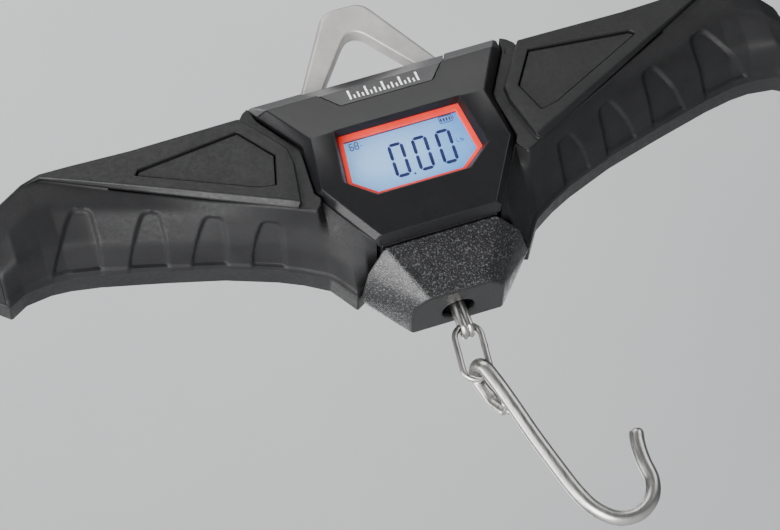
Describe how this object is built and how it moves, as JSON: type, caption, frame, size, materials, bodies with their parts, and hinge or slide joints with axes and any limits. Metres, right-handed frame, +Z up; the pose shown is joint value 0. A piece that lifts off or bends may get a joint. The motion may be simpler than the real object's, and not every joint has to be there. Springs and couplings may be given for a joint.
{
  "type": "digital fish scale",
  "caption": "Two-handed hanging scale with a winged housing, backlit display in the middle, a cast loop above and a swivelling link and open hook below.",
  "frame": {"origin": "inner apex of the hanging loop, on the middle plane of the loop and of the hook", "axes": "+X along the wings to the right of someone reading the display, -Y the way the display faces, +Z up towards the loop"},
  "size_m": [0.261, 0.0367, 0.1929],
  "materials": {
    "shell": "fine moulded texture",
    "face": "satin black",
    "rubber": "fine grained soft rubber",
    "badge": "satin dark grey with silver scale marks",
    "bezel": "red",
    "window": "clear polycarbonate",
    "screen": "pale blue backlit display",
    "diffuser": "white light guide",
    "board": "green solder mask",
    "electronic": "black moulding",
    "cast": "matt cast",
    "alloy": "milled",
    "steel": "brushed stainless",
    "brass": "plain",
    "cell": "wrapped battery can",
    "button": "soft keys"
  },
  "bodies": {
    "housing": {"face_plate": "face", "name_plate": "badge", "display_bezel": "bezel", "display_window": "window", "lcd_panel": "screen", "backlight_panel": "diffuser", "circuit_board": "board", "lcd_connector": "electronic", "front_shell": "shell", "rear_shell": "shell", "wing_panel_right": "shell", "wing_panel_left": "shell", "grip_right": "rubber", "grip_left": "rubber", "chin_cap": "shell", "hanging_loop": "cast", "load_cell": "alloy", "loop_screw_1": "steel", "loop_screw_2": "steel", "load_bracket": "steel", "bracket_screw": "steel", "thrust_washer": "brass", "battery_cradle": "electronic", "battery_1": "cell", "battery_2": "cell", "contact_spring_1": "steel", "contact_spring_2": "steel", "contact_plate": "brass", "button_board": "board", "switch_units": "electronic", "switch_power": "electronic", "switch_store": "electronic", "buzzer": "electronic", "housing_screw_1": "steel", "housing_screw_2": "steel", "housing_screw_3": "steel", "housing_screw_4": "steel", "housing_screw_5": "steel", "housing_screw_6": "steel"},
    "eye": {"swivel_head": "steel", "eye_bail": "steel"},
    "link": {"chain_link": "steel"},
    "hook": {"hook": "steel"},
    "battery_door": {"battery_door": "shell"},
    "button_units": {"button_units": "button"},
    "button_power": {"button_power": "button"},
    "button_store": {"button_store": "button"}
  },
  "joints": [
    {"name": "eye_swivel", "type": "hinge", "parent": "housing", "child": "eye", "pos_m": [0, 0.0002, -0.0913], "axis": [0, 0, 1], "continuous": true},
    {"name": "link_swing", "type": "hinge", "parent": "eye", "child": "link", "pos_m": [0, 0.0002, -0.1066], "axis": [1, 0, 0], "range_deg": [-55, 55]},
    {"name": "hook_swing", "type": "hinge", "parent": "link", "child": "hook", "pos_m": [-0.00154, 0.0002, -0.12094], "axis": [0, 1, 0], "range_deg": [-60, 75]},
    {"name": "battery_door_hinge", "type": "hinge", "parent": "housing", "child": "battery_door", "pos_m": [0.0695, 0.0125, -0.02935], "axis": [1, 0, 0], "range_deg": [0, 100]},
    {"name": "units_press", "type": "slide", "parent": "housing", "child": "button_units", "axis": [0, -1, 0], "range_m": [0, 0.0007], "stiffness_N_per_m": 450, "springref_m": -0.0005},
    {"name": "power_press", "type": "slide", "parent": "housing", "child": "button_power", "axis": [0, -1, 0], "range_m": [0, 0.0007], "stiffness_N_per_m": 450, "springref_m": -0.0005},
    {"name": "store_press", "type": "slide", "parent": "housing", "child": "button_store", "axis": [0, -1, 0], "range_m": [0, 0.0007], "stiffness_N_per_m": 450, "springref_m": -0.0005}
  ]
}
